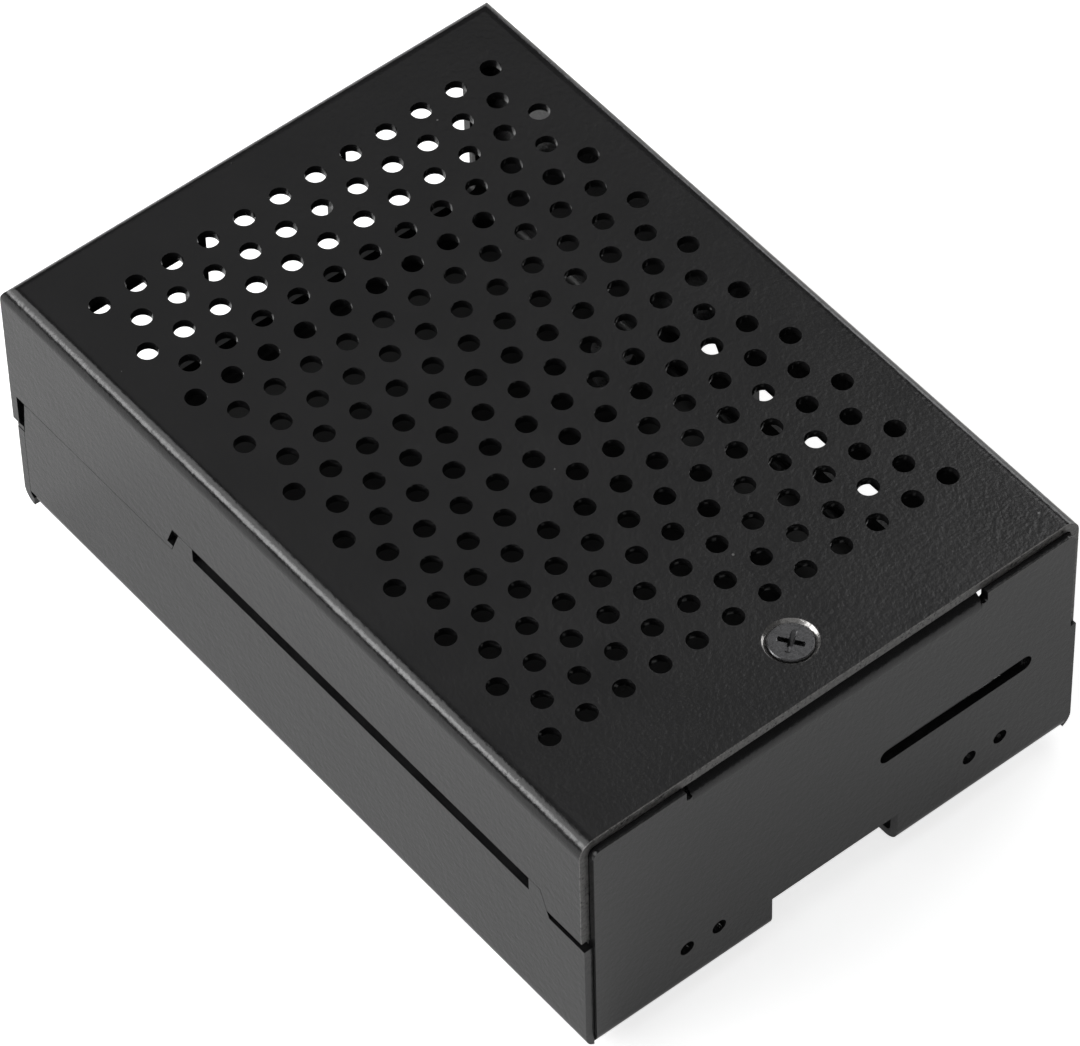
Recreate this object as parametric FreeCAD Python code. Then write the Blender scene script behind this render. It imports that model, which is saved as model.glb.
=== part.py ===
"""Vented sheet metal case for a credit-card-size single board computer.

The case is two folded sheets. The tray is the floor, the front wall with the
tab that takes the cover screw, the low rear wall and the two half-height
sides. The cover is the vented top, its two sides and the rear flange with the
port cut-outs. One countersunk screw holds the cover down on the front tab.

Frame: X runs along the case, +X to the memory card end. -Y is the side of the
pin header, +Y the side of the power and video ports. +Z is up. The origin is
below the middle of the case, on the surface that the feet stand on.
"""

import FreeCAD
import Part
import math
import os

V = FreeCAD.Vector
os.makedirs("parts", exist_ok=True)

# Case and sheet
case_length = 91.2
case_width = 62.0
case_height = 31.6
sheet = 1.0
inner_bend = 0.8
foot_height = 2.0

# Fits between the two sheets
seat_gap = 0.05
seam_gap = 0.05
front_seam_gap = 0.9
butt_gap = 0.05
press_gap = 0.02
thread_gap = 0.08

# Tray
tray_side_height = 15.8
side_front_setback = 0.35
rear_wall_height = 11.1
rear_wall_inset = 0.7
front_wall_drop = 0.05
wall_corner_radius = 0.85
side_end_slope = 0.45
side_end_cut = 0.1
corner_relief_width = 0.5
corner_relief_reach = 0.4

# Screw tab on the front wall
tab_width = 36.0
tab_reach = 11.3
tab_relief_width = 0.7
tab_relief_corner = 0.25
tab_relief_rise = 0.6
screw_from_front = 7.0

# Raised tongue of the left side, with the ribbon recess of the pin header
tongue_from_front = 5.6
tongue_length = 58.8
tongue_rise = 3.3
tongue_slope = 1.3
header_slot_from_front = 8.6
header_slot_length = 52.3
header_slot_depth = 1.8
tongue_rear_gap = 1.0
tongue_rear_gap_rise = 0.7

# Cover
cover_front_setback = 0.75
cover_rear_height = 11.8

# Vent pattern
vent_pitch = 4.5
vent_radius = 1.125
vent_rows = 19
vents_in_long_row = 12
vents_rear_margin = 8.3

# Board that the case holds
board_length = 85.0
board_width = 56.0
board_hole_edge = 3.5
board_hole_spacing_x = 58.0
board_hole_spacing_y = 49.0
board_from_front = 2.5
board_offset_y = 0.4
board_thickness = 1.4
standoff_height = 3.8

# Ports at the rear, measured from the board's header edge and its top face
network_port_y = 10.25
network_port_width = 16.7
network_port_top = 15.0
usb_port_y = (29.0, 47.0)
usb_port_width = 16.0
usb_port_top = 17.0
rear_port_sill = 0.2
port_corner_radius = 0.8

# Ports at the right side, measured from the board's card edge and its top face
power_port_x = 11.2
power_port_width = 11.5
video_port_x = (26.0, 39.5)
video_port_plug_width = 12.0
side_port_sill = 0.2
side_port_height = 4.6
audio_port_x = 54.0
audio_port_height = 2.5
audio_port_radius = 3.4

# Front wall openings
card_slot_width = 16.0
card_slot_reach = 5.5
card_slot_height = 4.75
card_slot_corner = 1.5
ribbon_slot_centre_y = 15.2
ribbon_slot_length = 19.4
ribbon_slot_width = 1.9
ribbon_slot_height = 15.4
light_hole_height = 6.15
light_hole_radius = 0.85
light_hole_y = (-18.7, -14.7, 17.2, 21.2)

# Cover screw and its clinch nut
cover_screw_radius = 1.25
cover_head_radius = 2.35
cover_head_depth = 1.1
cover_head_land = 0.4
cover_head_edge = 0.12
countersink_radius = 2.85
cover_screw_length = 6.0
nut_collar_radius = 2.1
nut_collar_height = 0.9
nut_flange_radius = 2.8
nut_flange_height = 1.5

# Board standoffs
standoff_radius = 2.3
standoff_hex_flats = 5.4
standoff_hex_height = 0.7
board_thread_radius = 1.25

# Cross recess in the screw head
recess_wing = 1.4
recess_thickness = 0.55
recess_tip = 0.35
recess_depth = 1.2
recess_turn = 35.0

# Feet
foot_radius = 4.0
foot_chamfer = 0.6
foot_from_end = 8.5
foot_from_side = 14.0

# Places that follow from the sizes above
outer_bend = inner_bend + sheet
x_front = case_length / 2
x_rear = -case_length / 2
x_cover_front = x_front - cover_front_setback
x_tray_rear = x_rear + rear_wall_inset
y_side = case_width / 2
z_floor = foot_height
z_top = z_floor + case_height
z_cover_under = z_top - sheet
z_tab_top = z_cover_under - seat_gap
z_front_wall = z_cover_under - front_wall_drop
z_side = z_floor + tray_side_height
z_tongue = z_side + tongue_rise
z_cover_rear = z_floor + cover_rear_height
z_board_under = z_floor + sheet + standoff_height
z_board_top = z_board_under + board_thickness
x_board_front = x_front - board_from_front
y_board_header_edge = board_offset_y - board_width / 2
x_screw = x_front - screw_from_front
x_board_hole = x_board_front - board_hole_edge
x_tongue_front = x_front - tongue_from_front
x_tongue_rear = x_tongue_front - tongue_length

# How far cutters run past what they cut, and when two places count as one
beyond = 5.0
same = 1e-6


def straight(start, end):
    """The edge between two points, or none where a fold ends at the sheet's end."""
    if (end - start).Length < same:
        return []
    return [Part.LineSegment(start, end).toShape()]


def rounded_path(points, radius):
    """Edges along a polyline of points with each inner corner rounded."""
    edges = []
    start = points[0]
    for before, corner, after in zip(points, points[1:], points[2:]):
        towards = (before - corner).normalize()
        onwards = (after - corner).normalize()
        arc_start = corner + towards * radius
        arc_end = corner + onwards * radius
        centre = corner + (towards + onwards) * radius
        middle = centre + (corner - centre).normalize() * radius
        edges += straight(start, arc_start)
        edges.append(Part.Arc(arc_start, middle, arc_end).toShape())
        start = arc_end
    return edges + straight(start, points[-1])


def folded_section(outer_points, normal):
    """Face of a folded sheet: its outer corners, every fold turning to the inside."""
    directions = [(b - a).normalize() for a, b in zip(outer_points, outer_points[1:])]
    inward = [normal.cross(direction) * sheet for direction in directions]
    inner_points = [outer_points[0] + inward[0]]
    for corner, one, two in zip(outer_points[1:-1], inward, inward[1:]):
        inner_points.append(corner + one + two)
    inner_points.append(outer_points[-1] + inward[-1])
    outer_edges = rounded_path(outer_points, outer_bend)
    inner_edges = rounded_path(inner_points, inner_bend)
    first_end = Part.LineSegment(inner_points[0], outer_points[0]).toShape()
    last_end = Part.LineSegment(outer_points[-1], inner_points[-1]).toShape()
    edges = Part.__sortEdges__(outer_edges + inner_edges + [first_end, last_end])
    return Part.Face(Part.Wire(edges))


def along_x(yz_points, x_from, x_to):
    """Folded sheet with its section across the case, running from x_from to x_to."""
    points = [V(x_from, y, z) for y, z in yz_points]
    return folded_section(points, V(1, 0, 0)).extrude(V(x_to - x_from, 0, 0))


def along_y(xz_points, y_from, y_to):
    """Folded sheet with its section along the case, running from y_from to y_to."""
    points = [V(x, y_from, z) for x, z in xz_points]
    return folded_section(points, V(0, -1, 0)).extrude(V(0, y_to - y_from, 0))


def inside_fold(outer_points, run):
    """Solid inside a folded sheet's outer face, closed across its open side."""
    edges = rounded_path(outer_points, outer_bend)
    edges.append(Part.LineSegment(outer_points[-1], outer_points[0]).toShape())
    return Part.Face(Part.Wire(Part.__sortEdges__(edges))).extrude(run)


def block(x_from, x_to, y_from, y_to, z_from, z_to):
    return Part.makeBox(x_to - x_from, y_to - y_from, z_to - z_from, V(x_from, y_from, z_from))


def outline_across_y(xz_points, y_from, y_to):
    """Prism of an outline drawn on the side of the case."""
    points = [V(x, y_from, z) for x, z in xz_points]
    return Part.Face(Part.makePolygon(points + points[:1])).extrude(V(0, y_to - y_from, 0))


def rounded_window(centre, width, height, radius, depth, axis):
    """Cutter for a window with round corners, running depth along axis from centre."""
    across = V(0, 1, 0) if axis.x else V(1, 0, 0)
    up = V(0, 0, 1)
    low = centre - across * (width / 2) - up * (height / 2)
    corners = [low, low + across * width, low + across * width + up * height, low + up * height]
    cutter = Part.Face(Part.makePolygon(corners + corners[:1])).extrude(axis * depth)
    run = [edge for edge in cutter.Edges if abs(edge.Length - depth) < same
           and edge.tangentAt(edge.FirstParameter).cross(axis).Length < same]
    return cutter.makeFillet(radius, run)


def hexagon_prism(flats, height, base):
    corner_radius = flats / math.sqrt(3)
    points = []
    for corner in range(7):
        angle = math.radians(60 * corner)
        points.append(base + V(corner_radius * math.cos(angle), corner_radius * math.sin(angle), 0))
    return Part.Face(Part.makePolygon(points)).extrude(V(0, 0, height))


def cross_recess(centre):
    """Cutter for a cross recess whose top is at centre."""
    wings = []
    for turn in (recess_turn, recess_turn + 90):
        wing = Part.makeBox(2 * recess_wing, recess_thickness, recess_depth,
                            centre - V(recess_wing, recess_thickness / 2, recess_depth))
        wing.rotate(centre, V(0, 0, 1), turn)
        wings.append(wing)
    taper = Part.makeCone(recess_tip, recess_wing, recess_depth, centre - V(0, 0, recess_depth))
    return wings[0].fuse(wings[1]).common(taper)


def board_holes():
    """Places of the four board holes, on the underside of the floor."""
    places = []
    for x in (x_board_hole, x_board_hole - board_hole_spacing_x):
        for side in (-1, 1):
            places.append(V(x, board_offset_y + side * board_hole_spacing_y / 2, z_floor))
    return places


def rear_port_windows():
    """Centre line, width and top of each port at the rear."""
    ports = [(network_port_y, network_port_width, network_port_top)]
    for y in usb_port_y:
        ports.append((y, usb_port_width, usb_port_top))
    return [(y_board_header_edge + y, width, z_board_top + top) for y, width, top in ports]


def vent_centres():
    """Centres of the vents: long and short rows in turn, on a 60 degree stagger."""
    row_step = vent_pitch * math.sin(math.radians(60))
    centres = []
    for row in range(vent_rows):
        count = vents_in_long_row - row % 2
        x = x_rear + vents_rear_margin + row * row_step
        for column in range(count):
            centres.append(V(x, (column - (count - 1) / 2) * vent_pitch, 0))
    return centres


def standoff_blank(place, gap):
    """Outside of a clinch standoff, grown by gap for the hole that takes it."""
    hexagon = hexagon_prism(standoff_hex_flats + 2 * gap, standoff_hex_height + gap, place)
    barrel = Part.makeCylinder(standoff_radius + gap, sheet + standoff_height, place)
    return hexagon.fuse(barrel)


def tray_side_outline(rear_top, with_tongue):
    """Side of the tray as drawn from the side, from the floor to its top edge."""
    x_rear_end = x_tray_rear + sheet + butt_gap
    x_cut = x_rear_end + side_end_cut
    points = [(x_rear_end, z_floor), (x_rear_end, rear_top), (x_cut, rear_top)]
    points.append((x_cut + side_end_slope, z_side))
    if with_tongue:
        x_slot_front = x_front - header_slot_from_front
        x_slot_rear = x_slot_front - header_slot_length
        z_slot = z_tongue - header_slot_depth
        points.append((x_tongue_rear, z_side))
        points.append((x_tongue_rear + tongue_slope, z_tongue))
        points.append((x_slot_rear, z_tongue))
        points.append((x_slot_rear, z_slot))
        points.append((x_slot_front, z_slot))
        points.append((x_slot_front, z_tongue))
        points.append((x_tongue_front - tongue_slope, z_tongue))
        points.append((x_tongue_front, z_side))
    points.append((x_front - side_front_setback, z_side))
    points.append((x_front - side_front_setback, z_floor))
    return points


def tray_sides_and_floor():
    """Floor and both sides, folded up along the long edges."""
    section = [(-y_side, z_tongue), (-y_side, z_floor), (y_side, z_floor), (y_side, z_tongue)]
    folded = along_x(section, x_tray_rear + sheet + butt_gap, x_front)
    rear_top = z_floor + rear_wall_height
    left = outline_across_y(tray_side_outline(rear_top, True), -y_side, 0)
    right = outline_across_y(tray_side_outline(rear_top, False), 0, y_side)
    folded = folded.common(left.fuse(right))
    front_fold = block(x_front - outer_bend, x_front + beyond, -y_side + sheet, y_side - sheet,
                       z_floor - beyond, z_floor + outer_bend)
    rear_fold = block(x_tray_rear - beyond, x_tray_rear + outer_bend, -y_side, y_side,
                      z_floor - beyond, z_floor + outer_bend)
    return folded.cut([front_fold, rear_fold])


def tray_rear_wall():
    """Low rear wall, folded up from the floor, open above the board for the ports."""
    x_fold = x_tray_rear + outer_bend
    section = [(x_tray_rear, z_floor + rear_wall_height), (x_tray_rear, z_floor), (x_fold, z_floor)]
    wall = along_y(section, -y_side, y_side)
    ports = rear_port_windows()
    y_from = ports[0][0] - ports[0][1] / 2
    y_to = ports[-1][0] + ports[-1][1] / 2
    z_sill = z_board_top - rear_port_sill
    height = z_floor + rear_wall_height + beyond - z_sill
    centre = V(x_tray_rear - beyond, (y_from + y_to) / 2, z_sill + height / 2)
    return wall.cut(rounded_window(centre, y_to - y_from, height, port_corner_radius,
                                   2 * beyond, V(1, 0, 0)))


def tab_relief(side):
    """Slot beside the tab's fold, with a round bottom, so that the tab folds alone."""
    z_low = z_tab_top - outer_bend + tab_relief_rise
    y_from, y_to = sorted((side * tab_width / 2, side * (tab_width / 2 + tab_relief_width)))
    slot = block(x_front - outer_bend - beyond, x_front + beyond, y_from, y_to, z_low, z_top)
    low_corners = [edge for edge in slot.Edges if abs(edge.BoundBox.ZMax - z_low) < same
                   and edge.BoundBox.YLength < same]
    return slot.makeFillet(tab_relief_corner, low_corners)


def tray_front_wall():
    """Front wall between the sides, with the tab folded in under the cover."""
    y_wall = y_side - sheet - butt_gap
    x_fold = x_front - outer_bend
    z_tab_fold = z_tab_top - outer_bend
    low_section = [(x_fold, z_floor), (x_front, z_floor), (x_front, z_front_wall)]
    wall = along_y(low_section, -y_wall, y_wall)
    top_edges = [edge for edge in wall.Edges if abs(edge.BoundBox.ZMin - z_front_wall) < same
                 and edge.BoundBox.YLength < same]
    wall = wall.makeFillet(wall_corner_radius, top_edges)
    wall = wall.cut([block(x_fold - beyond, x_front + beyond, -tab_width / 2, tab_width / 2,
                           z_tab_fold, z_top), tab_relief(-1), tab_relief(1)])
    tab_section = [(x_front, z_tab_fold - sheet), (x_front, z_tab_top),
                   (x_front - tab_reach, z_tab_top)]
    tab = along_y(tab_section, -tab_width / 2, tab_width / 2)
    tab = tab.common(block(x_front - case_length, x_front, -y_side, y_side, z_tab_fold, z_top))
    nut_hole = Part.makeCylinder(nut_collar_radius + press_gap, beyond,
                                 V(x_screw, 0, z_tab_top - beyond / 2))
    return wall.fuse(tab.cut(nut_hole))


def corner_relief(x, side, reach_out):
    """Slot at a floor corner where two folds meet."""
    y_inner = y_side - outer_bend - corner_relief_reach
    y_from, y_to = sorted((side * y_inner, side * (y_side + reach_out)))
    return block(x - corner_relief_width / 2, x + corner_relief_width / 2, y_from, y_to,
                 z_floor - beyond, z_floor + outer_bend)


def front_openings():
    """Cutters of the front wall: card slot, ribbon slot and light holes."""
    x_cut = x_front - outer_bend - sheet
    depth = outer_bend + sheet + beyond
    card_reach = card_slot_reach + beyond
    card = Part.makeBox(card_reach, card_slot_width, card_slot_height + beyond,
                        V(x_front - card_slot_reach, -card_slot_width / 2, z_floor - beyond))
    inner_corners = [edge for edge in card.Edges
                     if edge.BoundBox.ZLength > card_slot_height
                     and edge.BoundBox.XMax < x_front - card_slot_reach + same]
    cutters = [card.makeFillet(card_slot_corner, inner_corners)]
    half_run = (ribbon_slot_length - ribbon_slot_width) / 2
    z_ribbon = z_floor + ribbon_slot_height
    for side in (-1, 1):
        place = V(x_cut, ribbon_slot_centre_y + side * half_run, z_ribbon)
        cutters.append(Part.makeCylinder(ribbon_slot_width / 2, depth, place, V(1, 0, 0)))
    cutters.append(block(x_cut, x_cut + depth, ribbon_slot_centre_y - half_run,
                         ribbon_slot_centre_y + half_run, z_ribbon - ribbon_slot_width / 2,
                         z_ribbon + ribbon_slot_width / 2))
    for y in light_hole_y:
        place = V(x_cut, y, z_floor + light_hole_height)
        cutters.append(Part.makeCylinder(light_hole_radius, depth, place, V(1, 0, 0)))
    return cutters


def side_port_windows():
    """Cutters of the right side: power, video and audio ports."""
    z_centre = z_board_top - side_port_sill + side_port_height / 2
    first, last = video_port_x
    video_width = last - first + video_port_plug_width
    ports = [(power_port_x, power_port_width), ((first + last) / 2, video_width)]
    cutters = []
    for x, width in ports:
        centre = V(x_board_front - x, y_side - beyond, z_centre)
        cutters.append(rounded_window(centre, width, side_port_height, port_corner_radius,
                                      2 * beyond, V(0, 1, 0)))
    place = V(x_board_front - audio_port_x, y_side - beyond, z_board_top + audio_port_height)
    cutters.append(Part.makeCylinder(audio_port_radius, 2 * beyond, place, V(0, 1, 0)))
    return cutters


def base_tray():
    tray = tray_sides_and_floor().fuse([tray_rear_wall(), tray_front_wall()])
    cutters = front_openings() + side_port_windows()
    for side in (-1, 1):
        cutters.append(corner_relief(x_front - outer_bend, side, -sheet))
        cutters.append(corner_relief(x_tray_rear + outer_bend, side, beyond))
    for place in board_holes():
        cutters.append(standoff_blank(place, press_gap))
    return tray.cut(cutters).removeSplitter()


def cover_side_outline(with_recess):
    """Side of the cover as drawn from the side, from its lower edge to the top."""
    z_low = z_side + seam_gap
    points = [(x_rear, z_top), (x_rear, z_low)]
    if with_recess:
        z_high = z_tongue + seam_gap
        z_step = z_low + tongue_rear_gap_rise
        x_step = x_tongue_rear + tongue_slope * tongue_rear_gap_rise / tongue_rise
        points.append((x_tongue_rear - seam_gap, z_low))
        points.append((x_step - seam_gap, z_step))
        points.append((x_step - tongue_rear_gap, z_step))
        points.append((x_tongue_rear + tongue_slope - tongue_rear_gap, z_high))
        points.append((x_tongue_front - tongue_slope + seam_gap, z_high))
        z_low = z_side + front_seam_gap
        back = tongue_slope * (z_low - z_side) / tongue_rise
        points.append((x_tongue_front - back + seam_gap, z_low))
    points.append((x_cover_front, z_low))
    points.append((x_cover_front, z_top))
    return points


def cover_top_and_sides():
    """Top and both sides, folded down along the long edges."""
    section = [(y_side, z_side), (y_side, z_top), (-y_side, z_top), (-y_side, z_side)]
    folded = along_x(section, x_rear, x_cover_front)
    left = outline_across_y(cover_side_outline(True), -y_side, 0)
    right = outline_across_y(cover_side_outline(False), 0, y_side)
    rear_limit = [V(x, -y_side, z) for x, z in ((x_front, z_top), (x_rear, z_top), (x_rear, -beyond),
                                                (x_front, -beyond))]
    return folded.common(left.fuse(right)).common(inside_fold(rear_limit, V(0, case_width, 0)))


def cover_rear_flange():
    """Rear flange folded down from the top, with the ports open to its lower edge."""
    section = [(x_rear + outer_bend, z_top), (x_rear, z_top), (x_rear, z_cover_rear)]
    flange = along_y(section, -y_side, y_side)
    side_limit = [V(x_rear, y, z) for y, z in ((y_side, -beyond), (y_side, z_top), (-y_side, z_top),
                                               (-y_side, -beyond))]
    flange = flange.common(inside_fold(side_limit, V(case_length, 0, 0)))
    for y, width, z_port in rear_port_windows():
        height = z_port - z_cover_rear + beyond
        centre = V(x_rear - beyond, y, z_port - height / 2)
        flange = flange.cut(rounded_window(centre, width, height, port_corner_radius,
                                           2 * beyond, V(1, 0, 0)))
    return flange


def top_cover():
    """The cover, its rear corners closed and ground flush."""
    cover = cover_top_and_sides().fuse(cover_rear_flange())
    vents = []
    for centre in vent_centres():
        low = V(centre.x, centre.y, z_cover_under - sheet)
        vents.append(Part.makeCylinder(vent_radius, 3 * sheet, low))
    sink = Part.makeCone(countersink_radius - 2 * sheet, countersink_radius + sheet, 3 * sheet,
                         V(x_screw, 0, z_top - 2 * sheet))
    return cover.cut(vents + [sink]).removeSplitter()


def cover_screw():
    """Countersunk screw: the cone seats in the cover, and a land brings the head near the top."""
    z_land = z_top - (countersink_radius - cover_head_radius)
    z_head = z_land + cover_head_land
    z_cone = z_land - cover_head_depth
    z_tip = z_head - cover_screw_length
    axis = V(x_screw, 0, 0)
    profile = [V(0, 0, z_head), V(cover_head_radius - cover_head_edge, 0, z_head),
               V(cover_head_radius - press_gap, 0, z_head - cover_head_edge),
               V(cover_head_radius - press_gap, 0, z_land),
               V(cover_screw_radius - press_gap, 0, z_cone),
               V(cover_screw_radius - press_gap, 0, z_tip + cover_screw_radius / 2),
               V(cover_screw_radius / 2, 0, z_tip), V(0, 0, z_tip)]
    profile = [axis + point for point in profile]
    screw = Part.Face(Part.makePolygon(profile + profile[:1])).revolve(axis, V(0, 0, 1), 360)
    return screw.cut(cross_recess(axis + V(0, 0, z_head)))


def clinch_nut():
    """Nut pressed into the tab from below, with a lead-in for the screw's cone."""
    z_shoulder = z_tab_top - sheet
    collar = Part.makeCylinder(nut_collar_radius, nut_collar_height, V(x_screw, 0, z_shoulder))
    flange = Part.makeCylinder(nut_flange_radius, nut_flange_height,
                               V(x_screw, 0, z_shoulder - nut_flange_height))
    bore_radius = cover_screw_radius + thread_gap
    bore = Part.makeCylinder(bore_radius, 2 * beyond, V(x_screw, 0, z_shoulder - beyond))
    lead = Part.makeCone(bore_radius, bore_radius + sheet, sheet,
                         V(x_screw, 0, z_shoulder + nut_collar_height - sheet / 2))
    return collar.fuse(flange).cut([bore, lead]).removeSplitter()


def standoff(place):
    """Threaded clinch standoff, its hexagon flush with the underside of the floor."""
    bore = Part.makeCylinder(board_thread_radius, 2 * beyond, place - V(0, 0, beyond / 2))
    return standoff_blank(place, 0).cut(bore).removeSplitter()


def foot_places():
    """Places of the four feet, on the surface that they stand on."""
    places = []
    for x in (x_front - foot_from_end, x_rear + foot_from_end):
        for side in (-1, 1):
            places.append(V(x, side * (y_side - foot_from_side), 0))
    return places


def rubber_foot(place):
    """Stick-on foot with a chamfer round its lower edge."""
    foot = Part.makeCylinder(foot_radius, foot_height, place)
    rim = [edge for edge in foot.Edges if edge.BoundBox.ZMax < same]
    return foot.makeChamfer(foot_chamfer, rim)


def save(name, shape):
    solid = shape.Solids[0]
    solid.exportStep("parts/" + name + ".step")


save("base_tray", base_tray())
save("top_cover", top_cover())
save("cover_screw", cover_screw())
save("cover_clinch_nut", clinch_nut())
corner_names = ("front_left", "front_right", "rear_left", "rear_right")
for corner, place in zip(corner_names, board_holes()):
    save("board_standoff_" + corner, standoff(place))
for corner, place in zip(corner_names, foot_places()):
    save("rubber_foot_" + corner, rubber_foot(place))
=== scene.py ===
"""Looks of the vented sheet metal case for a single board computer.

The folded sheets and the fasteners come from the frame. This script rounds
their cut edges, coats them, and sets the floor, the lights and the camera.
All lengths are in metres.
"""

import math

import bpy
from mathutils import Matrix, Vector


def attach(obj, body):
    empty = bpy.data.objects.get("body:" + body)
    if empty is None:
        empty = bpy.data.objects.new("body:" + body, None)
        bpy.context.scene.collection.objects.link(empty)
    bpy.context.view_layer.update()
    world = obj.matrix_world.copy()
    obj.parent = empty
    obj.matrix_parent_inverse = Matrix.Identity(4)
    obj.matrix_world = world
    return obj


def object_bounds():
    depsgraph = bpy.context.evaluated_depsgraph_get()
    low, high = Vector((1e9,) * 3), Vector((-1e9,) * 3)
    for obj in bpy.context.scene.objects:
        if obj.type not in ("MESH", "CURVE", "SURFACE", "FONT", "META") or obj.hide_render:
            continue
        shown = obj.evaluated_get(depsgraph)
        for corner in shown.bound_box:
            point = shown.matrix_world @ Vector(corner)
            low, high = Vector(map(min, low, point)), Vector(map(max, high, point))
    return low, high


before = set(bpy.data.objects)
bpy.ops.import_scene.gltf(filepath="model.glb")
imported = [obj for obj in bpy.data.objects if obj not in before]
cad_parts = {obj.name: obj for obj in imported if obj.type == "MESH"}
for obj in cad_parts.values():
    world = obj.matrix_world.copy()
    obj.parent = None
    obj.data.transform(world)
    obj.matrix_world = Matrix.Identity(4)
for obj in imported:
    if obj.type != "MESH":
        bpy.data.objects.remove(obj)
cad_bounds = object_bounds()
case_low, case_high = cad_bounds
z_top = case_high.z

# Case
sheet = 0.001
foot_height = 0.002
screw_x = 0.0386
cover_set_back = 0.00075
cover_front = case_high.x - cover_set_back

# Rounding of the edges, which the modifier makes smaller where short edges meet
sheet_edge_round = 0.00013
metal_edge_round = 0.00008
rubber_edge_round = 0.0002
edge_segments = 2
sharp_angle = math.radians(28)
flat_angle = math.radians(0.5)
weld_distance = 1e-6

# Powder coat
mottle_size = 0.006
grain_size = 0.0003
peel_size = 0.0007
coat_dark = (0.008, 0.008, 0.0085, 1)
coat_light = (0.013, 0.0127, 0.0132, 1)
coat_roughness = (0.17, 0.27)
relief_height = 0.00003
relief_strength = 0.8

# Dust on the coat
dust_spacing = 0.004
dust_patch = 0.012
dust_reach = 0.045
dust_colour = (0.35, 0.35, 0.34, 1)
dust_cover = 0.35

# Places where the coat differs, with a painted highlight on the cover's front edge and painted shade on the
# tray's inner faces
# Lighter colour on the cover's front cut face: a painted highlight
edge_highlight_colour = (0.16, 0.155, 0.15, 1)
edge_highlight_reach = 0.00016
edge_highlight_fade = 0.00004
bare_steel = (0.42, 0.41, 0.40, 1)
countersink_reach = 0.00284
sink_depth = 0.00005
sink_fade = 0.00002
# Darker colour on the tray's inner faces: painted shade
inner_shade_colour = (0.004, 0.004, 0.0042, 1)
inner_x = case_high.x - sheet - 0.0002
inner_y = case_high.y - sheet - 0.0001
inner_fade = 0.0001
tray_floor_top = foot_height + sheet

# Lips on the tray's rear wall
lip_x = case_low.x + 0.0007
lip_y_from = 0.0278
lip_y_to = case_high.y - 0.00005
lip_low = 0.0129
lip_high = 0.01378

# Camera, fitted to the vent pattern in the photograph
sensor_width = 36.0
lens = 240.8
camera_azimuth = math.radians(52.078)
camera_elevation = math.radians(50.4995)
camera_roll = math.radians(-1.6033)
camera_distance = 0.692845
aim_on_top = (0.012157, -0.009076)

# Studio
lamp_distance = 0.9
floor_half_size = 4.0
floor_drop = 0.00005
floor_tone = (0.9, 0.9, 0.9, 1)
white = (1, 1, 1, 1)
room_level = 0.06
backdrop_blend = 0.04
floor_lift_seen = 0.75
floor_lift_in_gloss = 0.2


def place_camera():
    """Camera at the photograph's viewpoint, aimed at a point on the case's top."""
    back = Vector((
        math.sin(camera_azimuth) * math.cos(camera_elevation),
        -math.cos(camera_azimuth) * math.cos(camera_elevation),
        math.sin(camera_elevation),
    ))
    right = Vector((math.cos(camera_azimuth), math.sin(camera_azimuth), 0))
    up = back.cross(right)
    turned_right = math.cos(camera_roll) * right + math.sin(camera_roll) * up
    turned_up = -math.sin(camera_roll) * right + math.cos(camera_roll) * up
    aim = Vector((*aim_on_top, z_top))
    turn = Matrix((turned_right, turned_up, back)).transposed()
    data = bpy.data.cameras.new("camera")
    data.sensor_width = sensor_width
    data.lens = lens
    data.clip_start = camera_distance * 0.1
    data.clip_end = camera_distance * 20
    camera = bpy.data.objects.new("camera", data)
    place = aim + camera_distance * back
    camera.matrix_world = Matrix.LocRotScale(place, turn.to_quaternion(), None)
    bpy.context.scene.collection.objects.link(camera)
    bpy.context.scene.camera = camera


class Nodes:
    """A material's or a world's node tree, with short calls to add and join nodes."""

    def __init__(self, owner):
        owner.use_nodes = True
        self.tree = owner.node_tree
        self.tree.nodes.clear()

    def add(self, kind, inputs=(), **settings):
        node = self.tree.nodes.new(kind)
        for name, value in settings.items():
            setattr(node, name, value)
        for socket, value in dict(inputs).items():
            self.put(value, node.inputs[socket])
        return node

    def put(self, value, socket):
        """Joins an output to a socket, or sets the socket to a plain value."""
        if isinstance(value, bpy.types.NodeSocket):
            self.tree.links.new(value, socket)
        else:
            socket.default_value = value

    def math(self, operation, a, b=0.0):
        return self.add("ShaderNodeMath", {0: a, 1: b}, operation=operation).outputs[0]

    def remap(self, value, low, high, to_low=0.0, to_high=1.0):
        node = self.add("ShaderNodeMapRange", {0: value, 1: low, 2: high, 3: to_low, 4: to_high})
        return node.outputs[0]

    def mix(self, factor, a, b):
        return self.add("ShaderNodeMix", {0: factor, 6: a, 7: b}, data_type="RGBA").outputs[2]

    def noise(self, place, size, detail=2.0):
        """Noise whose blotches are about size metres across."""
        inputs = {"Vector": place, "Scale": 1 / size, "Detail": detail}
        return self.add("ShaderNodeTexNoise", inputs).outputs["Fac"]

    def slab(self, value, low, high, fade):
        """1 where value lies between low and high, fading over twice fade at each end."""
        rise = self.remap(value, low - fade, low + fade)
        fall = self.remap(value, high - fade, high + fade, 1.0, 0.0)
        return self.math("MULTIPLY", rise, fall)


def new_material(name):
    material = bpy.data.materials.new(name)
    nodes = Nodes(material)
    place = nodes.add("ShaderNodeTexCoord").outputs["Object"]
    shader = nodes.add("ShaderNodeBsdfPrincipled")
    nodes.add("ShaderNodeOutputMaterial", {"Surface": shader.outputs[0]})
    return material, nodes, place, shader


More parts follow.
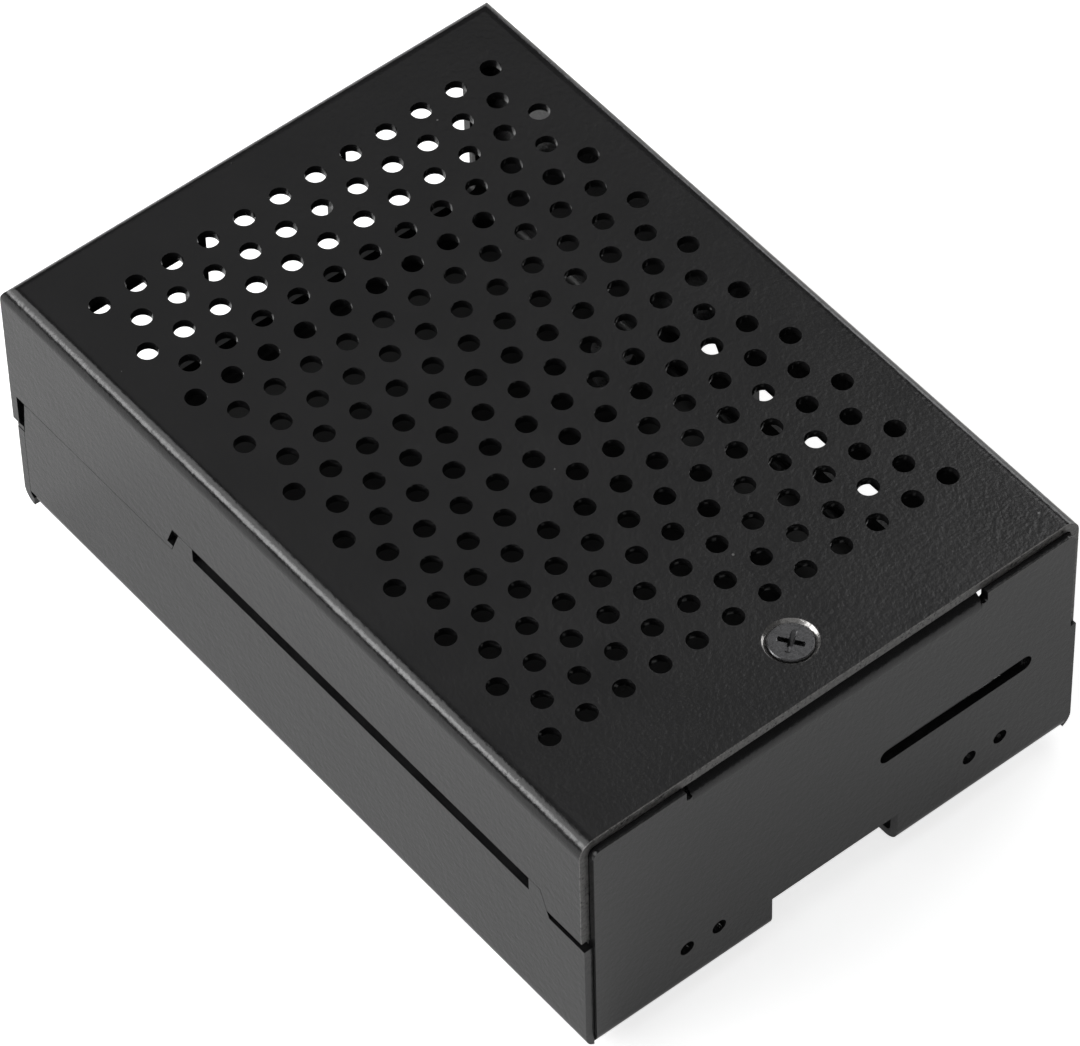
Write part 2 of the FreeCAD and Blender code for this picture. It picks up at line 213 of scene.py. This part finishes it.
def powder_coat(name, local_changes):
    """Satin black powder coat: faint mottling, fine orange peel and a little dust."""
    material, nodes, place, shader = new_material(name)
    mottle = nodes.noise(place, mottle_size, 3.0)
    grain = nodes.noise(place, grain_size)
    peel = nodes.noise(place, peel_size, 1.0)
    blotches = nodes.math("ADD", mottle, grain)
    colour = nodes.mix(nodes.remap(blotches, 0.6, 1.4), coat_dark, coat_light)
    colour = nodes.mix(dust(nodes, place), colour, dust_colour)
    rough = nodes.remap(blotches, 0.6, 1.4, *coat_roughness)
    height = nodes.math("ADD", nodes.math("MULTIPLY", grain, 0.6), peel)
    relief = {"Strength": relief_strength, "Distance": relief_height, "Height": height}
    nodes.put(nodes.add("ShaderNodeBump", relief).outputs[0], shader.inputs["Normal"])
    colour, rough = local_changes(nodes, place, grain, shader, colour, rough)
    nodes.put(colour, shader.inputs["Base Color"])
    nodes.put(rough, shader.inputs["Roughness"])
    return material


def dust(nodes, place):
    """Specks of dust, gathered in patches."""
    specks = nodes.add("ShaderNodeTexVoronoi", {"Vector": place, "Scale": 1 / dust_spacing})
    size = nodes.remap(nodes.noise(place, dust_patch), 0.4, 0.7, 0.0, dust_reach)
    return nodes.math("MULTIPLY", nodes.math("LESS_THAN", specks.outputs["Distance"], size), dust_cover)


def cover_changes(nodes, place, grain, shader, colour, rough):
    """Painted highlight on the cover's front edge, and bare steel in the countersink."""
    spot = nodes.add("ShaderNodeSeparateXYZ", {0: place})
    x, y, z = (spot.outputs[axis] for axis in "XYZ")
    # Painted highlight: the front cut face and the last strip of the top made lighter, speckled by the
    # grain
    edge = nodes.remap(x, cover_front - edge_highlight_reach, cover_front - edge_highlight_fade)
    edge = nodes.math("MULTIPLY", edge, nodes.remap(grain, 0.35, 0.62, 0.35, 1.0))
    colour = nodes.mix(edge, colour, edge_highlight_colour)
    from_screw = nodes.math("SUBTRACT", x, screw_x)
    across = nodes.math("MULTIPLY", from_screw, from_screw)
    reach = nodes.math("SQRT", nodes.math("ADD", across, nodes.math("MULTIPLY", y, y)))
    below_top = nodes.remap(z, z_top - sink_depth, z_top - sink_fade, 1.0, 0.0)
    sink = nodes.math("MULTIPLY", nodes.slab(reach, 0.0, countersink_reach, sink_fade), below_top)
    bare = nodes.math("MULTIPLY", sink, nodes.remap(grain, 0.3, 0.6, 0.5, 1.0))
    nodes.put(bare, shader.inputs["Metallic"])
    colour = nodes.mix(bare, colour, bare_steel)
    return colour, nodes.math("ADD", rough, nodes.math("MULTIPLY", edge, 0.2))


def tray_changes(nodes, place, grain, shader, colour, rough):
    """Painted shade on the tray's inner faces as a darker colour, and a duller coat there."""
    spot = nodes.add("ShaderNodeSeparateXYZ", {0: place})
    x, y, z = (spot.outputs[axis] for axis in "XYZ")
    # Painted shade: darker colour on the tray's inner faces, from its floor up
    shaded_inside = nodes.remap(z, tray_floor_top - 2 * inner_fade, tray_floor_top - inner_fade)
    shaded_inside = nodes.math("MULTIPLY", shaded_inside, nodes.slab(y, -inner_y, inner_y, inner_fade))
    shaded_inside = nodes.math("MULTIPLY", shaded_inside, nodes.slab(x, -inner_x, inner_x, inner_fade))
    colour = nodes.mix(shaded_inside, colour, inner_shade_colour)
    return colour, nodes.math("ADD", rough, nodes.math("MULTIPLY", shaded_inside, 0.25))


def zinc(name, tone, roughness):
    """Plated steel, faintly mottled."""
    material, nodes, place, shader = new_material(name)
    grain = nodes.noise(place, grain_size)
    dark = (*(0.75 * part for part in tone), 1)
    nodes.put(nodes.mix(grain, dark, (*tone, 1)), shader.inputs["Base Color"])
    rough = nodes.remap(grain, 0.3, 0.7, roughness - 0.06, roughness + 0.06)
    nodes.put(rough, shader.inputs["Roughness"])
    shader.inputs["Metallic"].default_value = 1.0
    return material


def foot_rubber():
    """Matt black rubber."""
    material, nodes, place, shader = new_material("foot_rubber")
    grain = nodes.noise(place, 0.0004)
    colour = nodes.mix(grain, (0.012, 0.012, 0.012, 1), (0.02, 0.02, 0.02, 1))
    nodes.put(colour, shader.inputs["Base Color"])
    nodes.put(nodes.remap(grain, 0.3, 0.7, 0.6, 0.75), shader.inputs["Roughness"])
    return material


def finish_node(node, material, edge_round):
    """Gives a node of the frame its material and rounds its edges."""
    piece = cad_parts[node]
    piece.data.materials.clear()
    piece.data.materials.append(material)
    weld = piece.modifiers.new("weld", "WELD")
    weld.merge_threshold = weld_distance
    flat = piece.modifiers.new("flat", "DECIMATE")
    flat.decimate_type = "DISSOLVE"
    flat.angle_limit = flat_angle
    bevel = piece.modifiers.new("bevel", "BEVEL")
    bevel.width = edge_round
    bevel.segments = edge_segments
    bevel.limit_method = "ANGLE"
    bevel.angle_limit = sharp_angle
    bevel.use_clamp_overlap = True
    smooth = piece.modifiers.new("normals", "WEIGHTED_NORMAL")
    smooth.keep_sharp = True


def finish_fasteners_and_feet():
    """Zinc on the screw, the nut and the standoffs, rubber on the feet."""
    dull_zinc = zinc("dull_zinc", (0.16, 0.16, 0.165), 0.26)
    bright_zinc = zinc("bright_zinc", (0.62, 0.62, 0.63), 0.3)
    rubber = foot_rubber()
    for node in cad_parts:
        if node.startswith("rubber_foot"):
            finish_node(node, rubber, rubber_edge_round)
        elif node.startswith("board_standoff"):
            finish_node(node, bright_zinc, metal_edge_round)
    finish_node("cover_clinch_nut", bright_zinc, metal_edge_round)
    finish_node("cover_screw", dull_zinc, metal_edge_round)


def box_mesh(name, boxes):
    """One mesh of boxes that lie along the axes, each given by its low and high corner."""
    verts, faces = [], []
    for (x0, y0, z0), (x1, y1, z1) in boxes:
        first = len(verts)
        for z in (z0, z1):
            verts += [(x0, y0, z), (x1, y0, z), (x1, y1, z), (x0, y1, z)]
        faces += [[first + 3, first + 2, first + 1, first], [first + 4, first + 5, first + 6, first + 7]]
        for side in range(4):
            beside = (side + 1) % 4
            faces.append([first + side, first + beside, first + beside + 4, first + side + 4])
    mesh = bpy.data.meshes.new(name)
    mesh.from_pydata(verts, [], faces)
    return mesh


def rear_wall_lips(material):
    """Ends of the tray's rear wall, carried up until they close the seam under the cover."""
    boxes = []
    for side in (-1, 1):
        y_low, y_high = sorted((side * lip_y_from, side * lip_y_to))
        boxes.append(((lip_x, y_low, lip_low), (lip_x + sheet, y_high, lip_high)))
    piece = bpy.data.objects.new("rear_wall_lips", box_mesh("rear_wall_lips", boxes))
    bpy.context.scene.collection.objects.link(piece)
    piece.data.materials.append(material)
    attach(piece, "base")


def area_light(name, azimuth, elevation, spread, radiance):
    """Soft box of one even radiance facing the case.

    Its place, its width and its height are given as angles seen from the case, in degrees.
    """
    width, height = (2 * lamp_distance * math.tan(math.radians(angle) / 2) for angle in spread)
    data = bpy.data.lights.new(name, "AREA")
    data.shape = "RECTANGLE"
    data.size, data.size_y = width, height
    data.energy = radiance * math.pi * width * height
    light = bpy.data.objects.new(name, data)
    turn, rise = math.radians(azimuth), math.radians(elevation)
    level = math.cos(rise)
    direction = Vector((math.cos(turn) * level, math.sin(turn) * level, math.sin(rise)))
    light.location = lamp_distance * direction
    light.rotation_mode = "QUATERNION"
    light.rotation_quaternion = direction.to_track_quat("Z", "Y")
    light.visible_camera = False
    bpy.context.scene.collection.objects.link(light)


def studio_lights():
    """A wide and a narrow soft box on the left, a high one, and weak fill all round."""
    area_light("left_softbox", 238, 42, spread=(52, 44), radiance=2.4)
    area_light("edge_softbox", 236, 29, spread=(13, 20), radiance=6.5)
    area_light("rear_fill", 132, 54, spread=(46, 24), radiance=0.27)
    area_light("far_fill", 110, 50, spread=(20, 20), radiance=2.2)
    area_light("far_low_fill", 100, 14, spread=(44, 16), radiance=2.6)
    area_light("high_softbox", 74, 68, spread=(26, 14), radiance=2.2)
    area_light("front_fill", 322, 42, spread=(60, 44), radiance=0.25)


def backdrop_rays(nodes):
    """The rays that see the white backdrop: from the camera, and in gloss or through glass."""
    path = nodes.add("ShaderNodeLightPath")
    reflected = nodes.math("MAXIMUM", path.outputs["Is Glossy Ray"],
                           path.outputs["Is Transmission Ray"])
    return path.outputs["Is Camera Ray"], reflected


def world_light():
    """Dim room, with a white backdrop for the camera and, near the horizon, for gloss."""
    world = bpy.data.worlds.new("world")
    bpy.context.scene.world = world
    nodes = Nodes(world)
    direction = nodes.add("ShaderNodeTexCoord").outputs["Generated"]
    height = nodes.add("ShaderNodeSeparateXYZ", {0: direction}).outputs["Z"]
    low = nodes.remap(height, 0.0, backdrop_blend, 1.0, 0.0)
    seen, reflected = backdrop_rays(nodes)
    shown = nodes.math("MAXIMUM", seen, nodes.math("MULTIPLY", reflected, low))
    room = nodes.add("ShaderNodeBackground", {"Color": white, "Strength": room_level})
    backdrop = nodes.add("ShaderNodeBackground", {"Color": white, "Strength": 1.0})
    mix = nodes.add("ShaderNodeMixShader", {0: shown, 1: room.outputs[0], 2: backdrop.outputs[0]})
    nodes.add("ShaderNodeOutputWorld", {"Surface": mix.outputs[0]})


def floor_material():
    """Pale matt floor, lifted to white where it is seen, and clear from below."""
    material = bpy.data.materials.new("floor")
    nodes = Nodes(material)
    seen, reflected = backdrop_rays(nodes)
    lift = nodes.math("MAXIMUM", nodes.math("MULTIPLY", seen, floor_lift_seen),
                      nodes.math("MULTIPLY", reflected, floor_lift_in_gloss))
    matt = nodes.add("ShaderNodeBsdfDiffuse", {"Color": floor_tone})
    glow = nodes.add("ShaderNodeEmission", {"Color": white, "Strength": lift})
    both = nodes.add("ShaderNodeAddShader", {0: matt.outputs[0], 1: glow.outputs[0]})
    below = nodes.math("MULTIPLY", nodes.add("ShaderNodeNewGeometry").outputs["Backfacing"], seen)
    clear = nodes.add("ShaderNodeBsdfTransparent")
    mix = nodes.add("ShaderNodeMixShader", {0: below, 1: both.outputs[0], 2: clear.outputs[0]})
    nodes.add("ShaderNodeOutputMaterial", {"Surface": mix.outputs[0]})
    return material


def floor():
    """Plain floor just below the feet, with the case's soft shadow."""
    half = floor_half_size
    mesh = bpy.data.meshes.new("floor")
    corners = [(x, y, -floor_drop) for x, y in ((-half, -half), (half, -half), (half, half), (-half, half))]
    mesh.from_pydata(corners, [], [(0, 1, 2, 3)])
    mesh.materials.append(floor_material())
    piece = bpy.data.objects.new("floor", mesh)
    bpy.context.scene.collection.objects.link(piece)


cover_coat = powder_coat("cover_coat", cover_changes)
tray_coat = powder_coat("tray_coat", tray_changes)
finish_node("top_cover", cover_coat, sheet_edge_round)
finish_node("base_tray", tray_coat, sheet_edge_round)
finish_fasteners_and_feet()
rear_wall_lips(tray_coat)
studio_lights()
world_light()
floor()
place_camera()
bpy.context.scene.view_settings.view_transform = "Standard"
